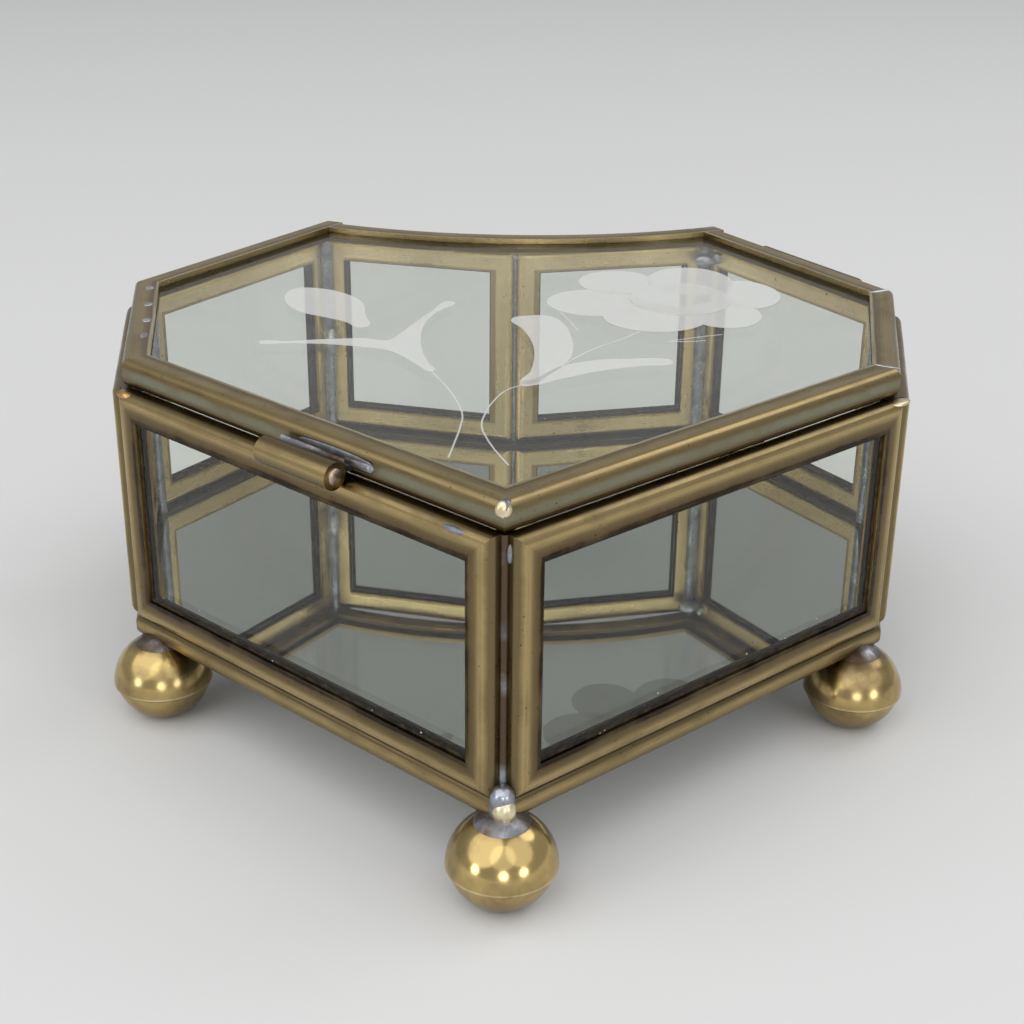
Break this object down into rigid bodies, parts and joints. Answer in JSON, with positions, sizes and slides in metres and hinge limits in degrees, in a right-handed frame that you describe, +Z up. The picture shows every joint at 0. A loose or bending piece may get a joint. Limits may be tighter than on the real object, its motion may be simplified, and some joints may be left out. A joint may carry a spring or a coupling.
{
  "type": "glass casket box",
  "caption": "Glass box in brass channel with a pointed front and a notched back, a mirror floor, a hinged etched glass lid with a thumb lift, and ball feet.",
  "frame": {"origin": "on the table, under the middle of the box's extents", "axes": "+Z up, the box's pointed front towards -Y, the thumb lift's side at -X"},
  "size_m": [0.1084, 0.1202, 0.0485],
  "materials": {
    "aged_brass": "aged, satin, streaky",
    "ball_brass": "polished",
    "clear_glass": "clear",
    "mirror": "silvered glass",
    "solder": "dull soft solder"
  },
  "bodies": {
    "box": {"wall_frame_front_right": "aged_brass", "wall_frame_side_right": "aged_brass", "wall_frame_slant_right": "aged_brass", "wall_frame_back_right": "aged_brass", "wall_frame_back_left": "aged_brass", "wall_frame_slant_left": "aged_brass", "wall_frame_side_left": "aged_brass", "wall_frame_front_left": "aged_brass", "wall_glass_front_right": "clear_glass", "wall_glass_side_right": "clear_glass", "wall_glass_slant_right": "clear_glass", "wall_glass_back_right": "clear_glass", "wall_glass_back_left": "clear_glass", "wall_glass_slant_left": "clear_glass", "wall_glass_side_left": "clear_glass", "wall_glass_front_left": "clear_glass", "floor_frame": "aged_brass", "floor_mirror": "mirror", "hinge_tube": "aged_brass", "foot_shell_front": "ball_brass", "foot_shell_side_right": "ball_brass", "foot_shell_back_right": "ball_brass", "foot_shell_back_left": "ball_brass", "foot_shell_side_left": "ball_brass", "foot_dome_front": "ball_brass", "foot_dome_side_right": "ball_brass", "foot_dome_back_right": "ball_brass", "foot_dome_back_left": "ball_brass", "foot_dome_side_left": "ball_brass", "corner_solder_front": "solder", "corner_solder_side_front_right": "solder", "corner_solder_side_back_right": "solder", "corner_solder_back_right": "solder", "corner_solder_notch": "solder", "corner_solder_back_left": "solder", "corner_solder_side_back_left": "solder", "corner_solder_side_front_left": "solder", "foot_solder": "solder", "hinge_tube_solder": "solder"},
    "lid": {"lid_rim_front_right": "aged_brass", "lid_rim_side_right": "aged_brass", "lid_rim_slant_right": "aged_brass", "lid_rim_back": "aged_brass", "lid_rim_slant_left": "aged_brass", "lid_rim_side_left": "aged_brass", "lid_rim_front_left": "aged_brass", "lid_glass": "clear_glass", "thumb_lift": "aged_brass", "hinge_wire": "aged_brass", "lid_solder": "solder", "thumb_solder": "solder", "hinge_wire_solder": "solder"}
  },
  "joints": [
    {"name": "lid_hinge", "type": "hinge", "parent": "box", "child": "lid", "pos_m": [0.0437, 0.03834, 0.04545], "axis": [-0.5595, 0.8288, 0], "range_deg": [0, 180]}
  ]
}
